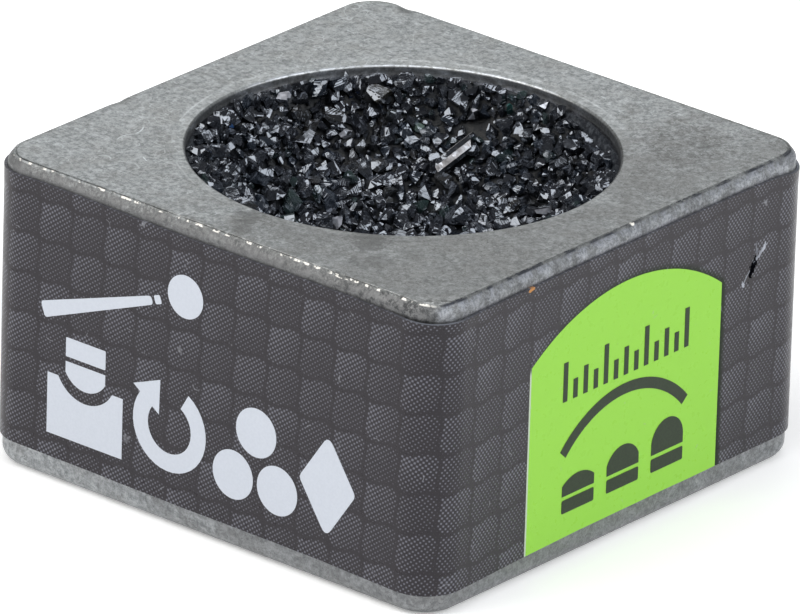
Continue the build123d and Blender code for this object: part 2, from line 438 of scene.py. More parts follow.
def weave(g, label, s, v):
    """How large the printed dots are: pillows in wavy rows, every other one paler."""
    cells = [g.math("DIVIDE", g.minus(along, start), CELL) for along, start in zip((s, v), CELL_START)]
    rows, shares = [], []
    for k, sway in enumerate((0.038, 0.045)):
        rows.append(g.scaled(g.math("SINE", g.times(cells[1 - k], math.tau)), sway, cells[k]))
        shares.append(g.math("FRACT", rows[k]))
    checker = g.math("FLOORED_MODULO", g.plus(*(g.math("FLOOR", row) for row in rows)), 2.0)
    pillows = []
    for k, soft in enumerate((0.1, 0.11)):
        bow = g.times(g.math("SINE", g.times(shares[1 - k], math.pi)), 0.025)
        edge = g.plus(g.math("MINIMUM", shares[k], g.minus(1.0, shares[k])), bow)
        pillows.append(g.step(edge, 0.01, soft, 0.05, 1.0))
    slope = g.plus(g.plus(g.times(shares[0], -0.35), g.times(shares[1], 0.35)), 0.95)
    tone = g.times(g.times(g.times(*pillows), slope), g.scaled(checker, 0.09, 0.36))
    return g.minus(g.times(tone, g.step(g.noise(label, 0.45, 2.0), 0.25, 0.75, 0.88, 1.12)), 0.14)


def printed_film(panel_middle):
    """Glossy film printed with a dot-screened basket weave and one lime panel with an arched top."""
    g = Graph("printed_film")
    label = g.attribute("label")
    s, v = g.split(label)[0], g.split(label)[1]
    cos, sin = (f(SCREEN_TURN) * SCREEN * math.tau for f in (math.cos, math.sin))
    waves = [g.math("COSINE", g.vector("DOT_PRODUCT", label, way)) for way in ((cos, sin, 0), (-sin, cos, 0))]
    screen = g.scaled(g.plus(*waves), 0.25, 0.5)
    dots = g.step(g.plus(screen, weave(g, label, s, v)), 0.75, 1.35)
    colour = g.mix(dots, g.mix(g.noise(label, 1.5, 3.0), INK, INK_WARM), DOT)
    across = g.minus(s, panel_middle)
    green = panel_mask(g, across, v, 0.0, 0.0, 0.012)
    under = panel_mask(g, across, v, -0.07, 0.02, 0.012)
    fringe = panel_mask(g, across, v, 0.11, 0.1, 0.17)
    colour = g.mix(g.times(fringe, 0.85), colour, FRINGE)
    colour = g.mix(g.times(under, g.fall(v, 8.4, 8.8)), colour, PALE_EDGE)
    colour = g.mix(green, colour, g.mix(g.noise(label, 7.0, 3.0), LIME, LIME_PALE))
    colour, hole = tear_colour(g, across, v, colour)
    dust = g.fall(g.cells(label, 1.1)["Distance"], 0.0, 0.07)
    dust = g.times(dust, g.step(g.noise(label, 0.7), 0.5, 0.56))
    scuffs = g.curl(label, 0.8, 0.012, 1.1, 0.64, 0.7)
    colour = g.mix(g.times(g.most(dust, scuffs), 0.4), colour, DUST)
    colour = g.mix(g.attribute("cut_edge", "Fac"), colour, CUT_EDGE)
    ripple = g.plus(g.noise(label, 0.5, 1.0), g.times(g.noise(label, 9.0, 2.0), 0.02))
    rough = g.step(g.noise(label, 2.5, 4.0), 0.3, 0.7, 0.26, 0.36)
    dull = g.math("MULTIPLY", g.minus(fringe, green), 0.6, clamp=True)
    shine = g.scaled(g.most(hole, dull), -0.5, 0.5)
    normal = g.bump(ripple, 0.03, 0.5)
    return g.finish(Base_Color=colour, Roughness=rough, IOR=1.3, Specular_IOR_Level=shine, Normal=normal)


def tear_colour(g, across, v, colour):
    """(colour, hole) with a dark tear under frayed pale film beside the panel, and a rust speck."""
    hole = blot(g, across, v, (7.5, 8.85), (0.17, 0.5), -24)
    colour = g.mix(hole, colour, TEAR)
    for middle, reach, turn, pale in FRAYED:
        frayed = blot(g, across, v, middle, reach, turn)
        colour = g.mix(frayed, colour, (pale, pale * 1.05, pale * 1.2))
    return g.mix(blot(g, across, v, (-5.8, 12.03), (0.19, 0.09), 30), colour, RUST), hole


def blot(g, across, v, middle, reach, turn):
    """A ragged oval mark on the film, turned by an angle in degrees."""
    cos, sin = math.cos(math.radians(turn)), math.sin(math.radians(turn))
    x, y = g.minus(across, middle[0]), g.minus(v, middle[1])
    along = g.math("DIVIDE", g.plus(g.times(x, cos), g.times(y, sin)), reach[0])
    up = g.math("DIVIDE", g.minus(g.times(y, cos), g.times(x, sin)), reach[1])
    ragged = g.step(g.noise(g.attribute("label"), 6.0, 3.0), 0.3, 0.7, -0.5, 0.4)
    return g.fall(g.plus(g.reach(along, up), ragged), 0.8, 1.05)


def panel_mask(g, across, v, shift, grow, soft):
    """1 inside the arched panel, moved sideways by shift, grown by grow and softened at its outline."""
    moved = g.minus(across, shift)
    half, arc_r = PANEL_HALF + grow, PANEL_ARC + grow
    within = g.fall(g.math("ABSOLUTE", moved), half - soft, half + soft)
    reach = g.reach(moved, g.minus(v, PANEL_TOP - PANEL_ARC))
    return g.times(within, g.fall(reach, arc_r - soft, arc_r + soft))


def printed_ink(name, pale, dark, rough):
    g = Graph(name)
    where = g.place()
    colour = g.mix(g.step(g.noise(where, 9.0, 4.0), 0.3, 0.7), pale, dark)
    height = g.noise(where, 1.2, 2.0)
    spread = g.step(g.noise(where, 3.0, 3.0), 0.3, 0.7, rough, rough + 0.1)
    return g.finish(Base_Color=colour, Roughness=spread, IOR=1.3, Normal=g.bump(height, 0.02, 0.4))


CRYSTAL_CLOUD = (0.014, 0.016, 0.021)
CRYSTAL_SHINE = (0.80, 0.86, 0.96, 1.0)


def crystal_material():
    """Silicon carbide: nearly black, with a strong shine, steps and small flaws on the facets."""
    g = Graph("silicon_carbide")
    where = g.place()
    tint = g.attribute("tint", "Color")
    gloss = g.attribute("gloss", "Fac")
    cloud = g.noise(where, 3.5, 3.0)
    colour = g.mix(g.step(cloud, 0.35, 0.75, 0.0, 0.6), tint, CRYSTAL_CLOUD)
    grow = g.vector("DOT_PRODUCT", where, g.attribute("axis"))
    lines = g.noise(g.node("ShaderNodeCombineXYZ", {"X": grow}).outputs[0], 7.0, 2.0, 0.7)
    height = g.plus(g.times(g.cells(where, 2.6)["Distance"], 0.6), g.times(lines, 0.6))
    flaws = g.cells(where, 3.5)
    from_middle = g.vector("SUBTRACT", where, flaws["Position"])
    tilt = g.vector("DOT_PRODUCT", from_middle, g.vector("SUBTRACT", flaws["Color"], (0.5, 0.5, 0.5)))
    rough = g.plus(gloss, g.step(cloud, 0.45, 0.8, 0.0, 0.1))
    normal = g.bump(tilt, 0.5, 0.75, g.bump(height, 0.14, 0.4))
    return g.finish(
        Base_Color=colour, Roughness=rough, IOR=2.5, Specular_Tint=CRYSTAL_SHINE, Normal=normal
    )


def resin_material():
    """Dark resin, with scraped paler places near the rim."""
    g = Graph("dark_resin")
    where = g.place()
    lumps = g.noise(where, 3.0, 3.0)
    colour = g.mix(g.step(lumps, 0.35, 0.7), (0.004, 0.005, 0.006), (0.012, 0.014, 0.018))
    radius = g.vector("LENGTH", g.stretch(where, 1, 1, 0))
    scraped = g.step(g.noise(where, 6.0, 3.0), 0.4, 0.7)
    scraped = g.mix(scraped, (0.018, 0.021, 0.027), (0.07, 0.078, 0.09))
    colour = g.mix(g.step(radius, 7.5, 8.1), colour, scraped)
    rough = g.step(lumps, 0.3, 0.7, 0.3, 0.6)
    normal = g.bump(lumps, 0.12, 0.7)
    return g.finish(Base_Color=colour, Roughness=rough, Specular_IOR_Level=0.25, Normal=normal)


def floor_material():
    g = Graph("pale_floor")
    where = g.place()
    colour = g.mix(g.noise(where, 0.02, 2.0), (0.93, 0.93, 0.93), (0.95, 0.95, 0.95))
    glow = {"Emission_Color": (1.0, 1.0, 1.0, 1.0), "Emission_Strength": 0.3}
    return g.finish(Base_Color=colour, Roughness=0.9, Specular_IOR_Level=0.1, **glow)


# ---- mesh helpers


def add_object(name, data):
    made = bpy.data.objects.new(name, data)
    bpy.context.scene.collection.objects.link(made)
    return made


def add_values(mesh, name, kind, domain, key, values):
    """An attribute that a material reads, with all its values."""
    mesh.attributes.new(name, kind, domain).data.foreach_set(key, values)


def flattened(rows):
    return [number for row in rows for number in row]


def grid_lines(first, count, length):
    """Indices of a grid's points, line by line."""
    return [tuple(range(first + k * length, first + (k + 1) * length)) for k in range(count)]


def quads(lines, closed=False, flip=False):
    """Faces between neighbouring lines of points."""
    faces = []
    for line, after in zip(lines, lines[1:]):
        pairs = list(zip(line, after))
        for (a, b), (d, c) in zip(pairs, pairs[1:] + pairs[:closed]):
            faces.append((a, d, c, b) if flip else (a, b, c, d))
    return faces


def make_piece(name, points, faces, material, slot_name, *replaced):
    """A mesh piece from points in millimetres, on the one body."""
    mesh = bpy.data.meshes.new(name)
    mesh.from_pydata([tuple(c * MM for c in p) for p in points], [], faces)
    mesh.validate()
    mesh.materials.append(material)
    return settle(add_object(name, mesh), slot_name, *replaced)


def settle(piece, slot_name, *replaced):
    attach(piece, "root")
    if replaced:
        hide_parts(*replaced)
    return piece


def smooth(mesh, angle):
    """Smooth shading except over edges sharper than an angle in degrees."""
    mesh.shade_smooth()
    mesh.set_sharp_from_angle(angle=math.radians(angle))


def wobble(x, y, z, scale, seed=0.0):
    """Smooth noise from -1 to 1 at a place in millimetres."""
    return noise.noise(Vector((x, y, z)) * scale + Vector((seed, -seed, 2 * seed)))


def bell(distance, width):
    return math.exp(-((distance / width) ** 2))


# ---- cast block

COLUMNS = 1200
BOWL_RINGS = 7


def square_radius(angle, half, corner):
    """Distance from the middle of a square with rounded corners to its outline."""
    turn = abs((angle + math.pi / 4) % (math.pi / 2) - math.pi / 4)
    inner = half - corner
    if half * math.tan(turn) <= inner:
        return half / math.cos(turn)
    reach = inner * (math.cos(turn) + math.sin(turn))
    return reach + math.sqrt(reach**2 - 2 * inner**2 + corner**2)


MOUTH_EDGE = (  # (outwards from the mouth, down from the flat) of rings up the wall and over its edge
    (0.0, 0.4),
    (0.0, 0.25),
    (0.0, 0.135),
    (0.006, 0.105),
    (0.03, 0.065),
    (0.065, 0.033),
    (0.1, LAND_DEPTH),
    (0.13, LAND_DEPTH),
)
LAND_EDGE = ((-0.14, LAND_DEPTH), (-0.08, LAND_DEPTH), (0.08, 0.0), (0.14, 0.0))  # the same from the ring


def mouth_rings():
    """(radius, depth below the flat) of rings up a mouth's straight wall and over its machined ring."""
    edges = ((MOUTH, MOUTH_EDGE), (LAND, LAND_EDGE))
    return [(start + out, down) for start, edge in edges for out, down in edge]


def bowl_rings(bowl):
    """(radius, height) of rings up a bowl from near its deepest point, leaving out the rim."""
    rim_angle = math.asin(MOUTH / bowl.radius)
    angles = [rim_angle * (i + 1) / (BOWL_RINGS + 1) for i in range(BOWL_RINGS)]
    return [(bowl.radius * math.sin(a), bowl.centre_z - bowl.up * bowl.radius * math.cos(a)) for a in angles]


def flat_rings(half, corner, z, count):
    """Rings that change from a circle to a rounded square across a flat face, leaving out the last."""
    inner = LAND + LAND_EDGE[-1][0]
    return [("blend", inner, half, corner, i / count, z) for i in range(1, count)]


TOP_EDGE = (  # (outwards from the flat, down from it, depth of the groove there, roughness of the line)
    (-0.05, 0.0, 0.0, 0.0),
    (-0.01, 0.0, 0.0, 0.002),
    (0.02, 0.006, 0.034, 0.005),
    (0.045, 0.01, 0.035, 0.005),
    (0.07, 0.012, 0.0, 0.010),
    (0.10, 0.014, 0.0, 0.010),
    (0.135, 0.06, 0.0, 0.009),
    (0.20, 0.145, 0.0, 0.009),
    (0.26, 0.225, 0.0, 0.008),
    (CREASE - 0.02, 0.31, 0.0, 0.006),
    (CREASE, 0.37, 0.0, 0.004),
    (CREASE, 0.6, 0.0, 0.002),
)
BACKWARD = math.radians(140)  # direction of the corner whose two edges are clean


def block_rings():
    """Every ring of the block's skin, from the shaper bowl's bottom outwards, down and up the other bowl."""
    rings = [("circle", r, z, 0.0) for r, z in bowl_rings(SHAPER)]
    rings += [("circle", r, HEIGHT - d, 0.0) for r, d in mouth_rings()]
    top_half, top_corner = HALF - CREASE, CORNER - CREASE
    inset = TOP_EDGE[0][0]
    rings += flat_rings(top_half + inset, top_corner + inset, HEIGHT, 8)
    for out, down, groove, rough in TOP_EDGE:
        rings.append(("square", top_half + out, top_corner + out, groove, HEIGHT - down, rough))
    rings += [("square", HALF, CORNER, 0.0, z, 0.0) for z in (9.0, 6.0, 3.0, 1.4, 1.0, 0.8)]
    for step in range(BASE_STEPS + 1):
        turn = math.pi / 2 * step / BASE_STEPS
        in_by = BASE_ROUND * (1 - math.cos(turn))
        z = BASE_ROUND * (1 - math.sin(turn))
        rings.append(("square", HALF - in_by, CORNER - in_by, 0.0, z, 0.006))
    rings += flat_rings(HALF - BASE_ROUND, CORNER - BASE_ROUND, 0.0, 5)[::-1]
    rings += [("circle", r, d, 0.0) for r, d in mouth_rings()[::-1]]
    rings += [("circle", r, z, 0.0) for r, z in bowl_rings(SCUFFER)[::-1]]
    return rings


DENTS = (  # (x, y, z, width, depth) of knocks along the top edge
    (10.98, 0.33, 12.55, 0.14, 0.1),
    (10.6, -10.5, 12.5, 0.45, 0.09),
    (6.2, -11.0, 12.5, 0.25, 0.06),
    (-3.0, -11.0, 12.5, 0.2, 0.05),
    (11.0, 5.4, 12.5, 0.2, 0.05),
    (-9.0, 11.0, 12.5, 0.35, 0.08),
    (-11.0, -4.0, 12.5, 0.3, 0.07),
)


def ring_point(ring, angle):
    kind, z, rough = ring[0], ring[-2], ring[-1]
    if kind == "circle":
        radius = ring[1]
    elif kind == "square":
        radius = square_radius(angle, ring[1], ring[2])
    else:
        share, z, rough = ring[4], ring[5], 0.0
        radius = ring[1] * (1 - share) + square_radius(angle, ring[2], ring[3]) * share
    if rough:
        x, y = radius * math.cos(angle), radius * math.sin(angle)
        off = (angle - BACKWARD + math.pi) % math.tau - math.pi
        clean = min(1.0, 1.6 * bell(off, 1.25)) if z > HEIGHT / 2 else 0.0
        z -= ring[3] * (1 - clean)
        rough *= 1 - clean
        bead = wobble(x, y, z, 4.5, 3.0) + 0.6 * wobble(x, y, z, 11.0, 9.0)
        z += rough * bead
        radius += rough * 0.8 * wobble(x, y, z, 6.0, 5.0)
        for dx, dy, dz, width, depth in DENTS:
            z -= depth * bell(math.dist((x, y, z), (dx, dy, dz)), width)
    return radius * math.cos(angle), radius * math.sin(angle), z


def make_block(material):
    angles = [math.tau * i / COLUMNS for i in range(COLUMNS)]
    rings = block_rings()
    points = [ring_point(ring, angle) for ring in rings for angle in angles]
    lines = grid_lines(0, len(rings), COLUMNS)
    faces = quads(lines, closed=True) + [lines[0], lines[-1][::-1]]
    piece = make_piece("block_casting", points, faces, material, "cast_metal", "block")
    smooth(piece.data, 50)


# ---- wrap

FILM_HALF = HALF + WRAP_T
FILM_CORNER = CORNER + WRAP_T
FLAT = FILM_HALF - FILM_CORNER  # half of a straight run
BEND = FILM_CORNER * math.pi / 2
SIDE = 2 * FLAT + BEND
AROUND = 4 * SIDE
FRONT_CORNER = FLAT + BEND / 2  # place along the film, which starts in the middle of the -Y side
SEAM = AROUND - SIDE - 7.5  # on the hidden -X side
SEAM_GAP = 0.15
CORNER_DIPS = (  # (place along the film, how far the top edge dips, how far it stands off)
    (FRONT_CORNER, 0.05, 0.1),
    (FRONT_CORNER + SIDE, 0.26, 0.015),
    (FRONT_CORNER + 2 * SIDE, 0.08, 0.03),
    (FRONT_CORNER + 3 * SIDE, 0.08, 0.0),
)


def film_place(s):
    """(x, y, outward x, outward y) on the film's outline. s is 0 in the middle of the -Y side, and grows
    towards +X."""
    s = (s + SIDE / 2) % AROUND
    side = int(s // SIDE)
    along = s - side * SIDE - SIDE / 2
    if abs(along) <= FLAT:
        x, y, out_x, out_y = along, -FILM_HALF, 0.0, -1.0
    else:
        sign = math.copysign(1, along)
        turn = sign * (abs(along) - FLAT) / FILM_CORNER
        out_x, out_y = math.sin(turn), -math.cos(turn)
        x = sign * FLAT + FILM_CORNER * out_x
        y = -FLAT + FILM_CORNER * out_y
    for _ in range(side):
        x, y, out_x, out_y = -y, x, -out_y, out_x
    return x, y, out_x, out_y


def off_by(s, middle):
    """Distance along the film between two places, the short way round."""
    gap = abs(s - middle) % AROUND
    return min(gap, AROUND - gap)


def film_edges(s):
    """(bottom, top, lift at the top) of the film at a place along it. It was put on a little askew."""
    front = off_by(s, FRONT_CORNER)
    sag = bell(off_by(s, -0.5), 5.5)
    bottom = wrap_low.z + 0.06 - 0.13 * bell(front, 7.0) - 0.1 * bell(front, 4.0) - 0.08 * sag
    low_side = bell(max(0.0, off_by(s, SIDE) - 8.0), 6.0)
    top = wrap_high.z - 0.02 - 0.10 * bell(front, 7.0) - 0.13 * sag - 0.11 * low_side
    lift = 0.012
    for middle, dip, flare in CORNER_DIPS:
        share = bell(off_by(s, middle), 1.5)
        top -= dip * share
        lift += flare * share
    return bottom + 0.012 * wobble(s, 0, 0, 0.6), top + 0.012 * wobble(s, 5, 0, 0.8), lift


BEND_STEP, STRAIGHT_STEP = 0.07, 0.16
FILM_ROWS = (0.0, 0.02, 0.1, 0.3, 0.5, 0.7, 0.85, 0.9, 0.93, 0.955, 0.975, 0.99, 1.0)


def film_stations():
    """Places along the film from one end to the other, closer together round the corners."""
    s, stations = SEAM + SEAM_GAP / 2 - AROUND, []
    end = SEAM - SEAM_GAP / 2
    while s < end:
        stations.append(s)
        to_corner = min(off_by(s, middle) for middle, _, _ in CORNER_DIPS)
        s += BEND_STEP if to_corner < BEND else STRAIGHT_STEP
    return stations + [end]


def make_wrap(material):
    stations = film_stations()
    points, labels = [], []
    for inward in (0.0, WRAP_T):
        for s in stations:
            x, y, out_x, out_y = film_place(s)
            bottom, top, lift = film_edges(s)
            for share in FILM_ROWS:
                z = bottom + (top - bottom) * share
                down = (1 - share) * (top - bottom)
                out = lift * bell(down, 0.45) + 0.006 * wobble(s, z, 0, 0.5) - inward
                if inward:
                    out = max(out, 0.003 - inward)
                points.append((x + out_x * out, y + out_y * out, z))
                labels.append((s, z, 0.0))
    faces = film_faces(len(stations), len(FILM_ROWS))
    piece = make_piece("wrap_film", points, faces, material, "printed_film", "wrap_label")
    shine = [edge_shine(polygon, labels) for polygon in piece.data.polygons]
    add_values(piece.data, "label", "FLOAT_VECTOR", "POINT", "vector", flattened(labels))
    add_values(piece.data, "cut_edge", "FLOAT", "FACE", "value", shine)
    smooth(piece.data, 50)


def edge_shine(polygon, labels):
    """How clearly the clear film's cut edge shows on a face: mostly where it stands off at a corner."""
    if abs(polygon.normal.z) < 0.7:
        return 0.0
    s = labels[polygon.vertices[0]][0]
    return 0.25 + 0.75 * max(bell(off_by(s, middle), 1.3) for middle, _, flare in CORNER_DIPS if flare)


def film_faces(count, rows):
    """Skin of a strip whose outer and inner sides are grids of count by rows points."""
    outer, inner = grid_lines(0, count, rows), grid_lines(count * rows, count, rows)
    low, high = ([[line[k] for line in side] for side in (outer, inner)] for k in (0, -1))
    faces = quads(outer) + quads(inner, flip=True) + quads(low) + quads(high, flip=True)
    return faces + quads([outer[0], inner[0]], flip=True) + quads([outer[-1], inner[-1]])


# ---- printed marks

PRINT_T = 0.006
PRINT_GAP = 0.008  # keeps the print clear of the film, which is a little wavy


def arc(cx, cy, radius, start, end, count=28):
    """Points on an arc, in degrees."""
    turns = [math.radians(start + (end - start) * i / (count - 1)) for i in range(count)]
    return [(cx + radius * math.cos(t), cy + radius * math.sin(t)) for t in turns]


def circle(cx, cy, radius, count=48):
    return arc(cx, cy, radius, 0, 360, count + 1)[:-1]


def rounded(corners, radius, count=7):
    """A polygon with its corners rounded."""
    outline = []
    total = len(corners)
    for i, corner in enumerate(corners):
        here = Vector(corner)
        before = Vector(corners[i - 1]) - here
        after = Vector(corners[(i + 1) % total]) - here
        half = before.angle(after) / 2
        back = min(radius / math.tan(half), before.length / 2, after.length / 2)
        start, end = here + before.normalized() * back, here + after.normalized() * back
        for k in range(count):
            t = k / (count - 1)
            point = start * (1 - t) ** 2 + here * 2 * t * (1 - t) + end * t**2
            outline.append((point.x, point.y))
    return outline


def box_outline(x0, y0, x1, y1, radius):
    return rounded([(x0, y0), (x1, y0), (x1, y1), (x0, y1)], radius)


def turning_arrow(cx, cy, radius, thick, start, end, head):
    """An open ring that ends in an arrowhead. end is where the head begins, in degrees."""
    outer = arc(cx, cy, radius + thick / 2, start, end)
    inner = arc(cx, cy, radius - thick / 2, end, start)
    t = math.radians(end)
    out = Vector((math.cos(t), math.sin(t)))
    on = Vector((-math.sin(t), math.cos(t))) * math.copysign(1, end - start)
    middle = Vector((cx, cy)) + out * radius
    tip = [middle + out * head * 0.8, middle + on * head * 1.2, middle - out * head * 0.8]
    return outer + [(p.x, p.y) for p in tip] + inner


def tip_dome(cx, base, width, crown, pointing):
    """Arc of a cue tip's crown over a base line. pointing is 90 upwards and -90 downwards, in degrees."""
    radius = (width**2 / 4 + crown**2) / (2 * crown)
    spread = math.degrees(math.asin(width / 2 / radius))
    up = math.copysign(1, pointing)
    return arc(cx, base + up * (crown - radius), radius, pointing - spread, pointing + spread, 20)


def tip_outline(cx, base, width, crown, ferrule, gap):
    """A cue tip with a domed crown, standing on a ferrule."""
    low = base + ferrule + gap
    dome = [(cx - width / 2, low), (cx + width / 2, low)]
    dome += tip_dome(cx, low + width * 0.22, width, crown, 90)
    return [dome, box_outline(cx - width / 2, base, cx + width / 2, base + ferrule, 0.08)]


def make_print(name, outlines, material, slot_name, side):
    """Flat printed shapes on the film. side turns the -Y face's layout to another face, in quarter turns."""
    curve = bpy.data.curves.new(name, "CURVE")
    curve.dimensions = "2D"
    curve.fill_mode = "BOTH"
    curve.extrude = PRINT_T / 2 * MM
    for outline in outlines:
        spline = curve.splines.new("POLY")
        spline.points.add(len(outline) - 1)
        for point, (x, y) in zip(spline.points, outline):
            point.co = (x * MM, y * MM, 0.0, 1.0)
        spline.use_cyclic_u = True
    flat = add_object(name + "_flat", curve)
    bpy.context.view_layer.update()
    mesh = bpy.data.meshes.new_from_object(flat.evaluated_get(bpy.context.evaluated_depsgraph_get()))
    bpy.data.objects.remove(flat)
    out = (FILM_HALF + PRINT_T / 2 + PRINT_GAP) * MM
    stand = Matrix.Rotation(math.pi / 2, 4, "X")
    turn = Matrix.Rotation(side * math.pi / 2, 4, "Z")
    mesh.transform(turn @ Matrix.Translation((0.0, -out, 0.0)) @ stand)
    merge_close(mesh)
    mesh.name = name
    mesh.materials.clear()
    mesh.materials.append(material)
    settle(add_object(name, mesh), slot_name)


def merge_close(mesh):
    work = bmesh.new()
    work.from_mesh(mesh)
    bmesh.ops.remove_doubles(work, verts=work.verts, dist=1e-7)
    bmesh.ops.recalc_face_normals(work, faces=work.faces)
    work.to_mesh(mesh)
    work.free()


def white_marks():
    """Signs in two lines. Thin: a cue and a ball. Bold: a tip in the cup, a turn, three balls, a diamond."""
    thin = pointing_cue((-8.2, 7.1), (-2.75, 9.1), 0.33, 0.18) + [circle(-1.1, 9.72, 0.88)]
    bold = [[(-7.9, 2.1), (-4.1, 2.1), (-4.1, 4.6)] + arc(-6.0, 5.35, 1.55, -29, -151, 24) + [(-7.9, 4.6)]]
    bold += tip_upside_down(-6.0, 4.3, 2.0)
    bold.append(turning_arrow(-1.75, 4.15, 1.45, 0.75, 60, -215, 1.0))
    bold += [circle(cx, cy, 1.0) for cx, cy in ((2.55, 5.25), (1.45, 3.2), (3.65, 3.2))]
    bold.append(rounded([(6.1, 2.05), (7.5, 4.15), (6.1, 6.25), (4.7, 4.15)], 0.3))
    return thin, bold


def pointing_cue(butt, ferrule, butt_half, tip_half):
    """A tapered cue with its tip set a little apart."""
    start, end = Vector(butt), Vector(ferrule)
    along = (end - start).normalized()
    across = Vector((-along.y, along.x))
    parts = []
    for low, high, half, radius in (
        (start, end, butt_half, 0.15),
        (end + along * 0.14, end + along * 0.46, tip_half, 0.08),
    ):
        side, far = across * half, across * tip_half
        corners = (low - side, high - far, high + far, low + side)
        parts.append(rounded([tuple(p) for p in corners], radius))
    return parts


def tip_upside_down(cx, bottom, width):
    """A cue tip that points down, with its ferrule above it."""
    crown = width * 0.28
    left, right = cx - width / 2, cx + width / 2
    dome = tip_dome(cx, bottom + crown, width, crown, -90)
    dome += [(right, bottom + crown + 0.45), (left, bottom + crown + 0.45)]
    return [dome, box_outline(left, bottom + crown + 0.65, right, 6.3, 0.06)]


def dark_marks():
    """Measuring signs on the panel: a scale, an arc and three cue tips with crowns of growing height."""
    marks = []
    for i in range(13):
        x = -3.6 + 0.6 * i
        top = 6.75 + (1.62 if i % 4 == 0 else 1.15 if i % 2 == 0 else 0.8)
        marks.append([(x - 0.13, 6.75), (x + 0.13, 6.75), (x + 0.13, top), (x - 0.13, top)])
    marks.append(arc(0.0, 1.3, 5.1, 42, 138, 40) + arc(0.0, 1.3, 4.65, 138, 42, 40))
    for cx, crown in ((-2.65, 0.35), (0.0, 0.62), (2.65, 0.9)):
        marks += tip_outline(cx, 2.1, 1.9, crown, 0.55, 0.16)
    return marks


# ---- abrasive


def crystal_shape(rng, long):
    """Corners and flat faces of one sharp crystal: a box cut by random planes, reaching 1 from its middle."""
    work = bmesh.new()
    bmesh.ops.create_cube(work, size=2.4)
    for _ in range(rng.randint(9, 14)):
        out = Vector([rng.gauss(0, 1) for _ in range(3)]).normalized()
        geometry = work.verts[:] + work.edges[:] + work.faces[:]
        plane = {"plane_co": out * rng.uniform(0.6, 0.9), "plane_no": out}
        cut = bmesh.ops.bisect_plane(work, geom=geometry, clear_outer=True, **plane)
        rim = [e for e in cut["geom_cut"] if isinstance(e, bmesh.types.BMEdge)]
        if rim:
            bmesh.ops.contextual_create(work, geom=rim)
    bmesh.ops.recalc_face_normals(work, faces=work.faces)
    scale = (1.0, rng.uniform(0.8, 1.0), rng.uniform(0.7, 1.0))
    if long:
        scale = (1.0, rng.uniform(0.28, 0.4), rng.uniform(0.28, 0.4))
    points = [Vector([c * share for c, share in zip(v.co, scale)]) for v in work.verts]
    faces = [tuple(v.index for v in f.verts) for f in work.faces]
    work.free()
    reach = max(p.length for p in points)
    return [p / reach for p in points], faces


PRISM_SIDES = 8
PRISM_RADII = (0.4, 0.32)


def prism_shape():
    """Corners and faces of a column with slanted ends, reaching about 1 from its middle."""
    points, faces = [], []
    for end in (-1, 1):
        for i in range(PRISM_SIDES):
            turn = math.tau * (i + 0.25) / PRISM_SIDES
            y, z = PRISM_RADII[0] * math.sin(turn), PRISM_RADII[1] * math.cos(turn)
            points.append(Vector((end * (0.88 + 0.7 * y * end + 0.3 * z), y, z)))
    low, high = grid_lines(0, 2, PRISM_SIDES)
    for i in range(PRISM_SIDES):
        j = (i + 1) % PRISM_SIDES
        faces.append((low[i], low[j], high[j], high[i]))
    return points, faces + [low[::-1], high]


TINTS = (  # (share, colour)
    (0.74, (0.017, 0.018, 0.022)),
    (0.12, (0.013, 0.018, 0.027)),
    (0.04, (0.014, 0.025, 0.026)),
    (0.02, (0.020, 0.036, 0.034)),
    (0.055, (0.028, 0.027, 0.026)),
    (0.025, (0.050, 0.052, 0.052)),
)


def pick_tint(rng):
    chance = rng.random()
    for share, colour in TINTS:
        chance -= share
        if chance < 0:
            return colour
    return TINTS[0][1]


NEXT_CELLS = list(itertools.product((-1, 0, 1), repeat=3))


def scatter_crystals(rng, sphere_r, top_angle, bands, closeness, landmarks, bare):
    """(place on the sphere, size, colour, direction) of crystals on a bowl, the largest first."""
    placed, grid = [], {}
    reach = bands[0][1] * 2.2

    def key_of(spot):
        return tuple(int(c // reach) for c in spot)

    def add(spot, size, colour, direction):
        placed.append((spot, size, colour, direction))
        grid.setdefault(key_of(spot), []).append((spot, size))

    def on_sphere(x, y):
        return Vector((x, y, -math.sqrt(sphere_r**2 - x**2 - y**2)))

    for x, y, size, colour, direction in landmarks:
        add(on_sphere(x, y), size, colour, direction)
    empty = [(on_sphere(x, y), reach) for x, y, reach in bare]
    for low, high, tries in bands:
        for _ in range(tries):
            size = rng.uniform(low, high)
            height = rng.uniform(math.cos(top_angle), 1.0)
            turn = rng.uniform(0, math.tau)
            flat = math.sqrt(1 - height**2)
            spot = Vector((flat * math.cos(turn), flat * math.sin(turn), -height)) * sphere_r
            if any((spot - middle).length < reach_bare for middle, reach_bare in empty):
                continue
            key = key_of(spot)
            around = [tuple(k + d for k, d in zip(key, step)) for step in NEXT_CELLS]
            close = [item for cell in around for item in grid.get(cell, ())]
            if all((spot - other).length > closeness * (size + width) for other, width in close):
                add(spot, size, pick_tint(rng), None)
    return placed


# Painted shade on some faces of crystals that are painted pale as highlights.
SHADED_FACE = (0.02, 0.021, 0.024, 1.0)


def face_tint_and_shade(rng, colour, direction, k):
    """Colour of one face: a pale crystal, painted as a highlight, has some faces in painted shade, and a
    prism's sides alternate between the two.
    """
    pale = max(colour) > 0.2
    dark = k % 2 == 1 if direction else rng.random() < 0.5
    return SHADED_FACE if pale and dark else (*colour, 1.0)


GLOSSES = (0.04, 0.07, 0.1, 0.15, 0.24)
SHAPES = 64
TALLEST = 0.32  # how far a crystal may rise over the lining's rim


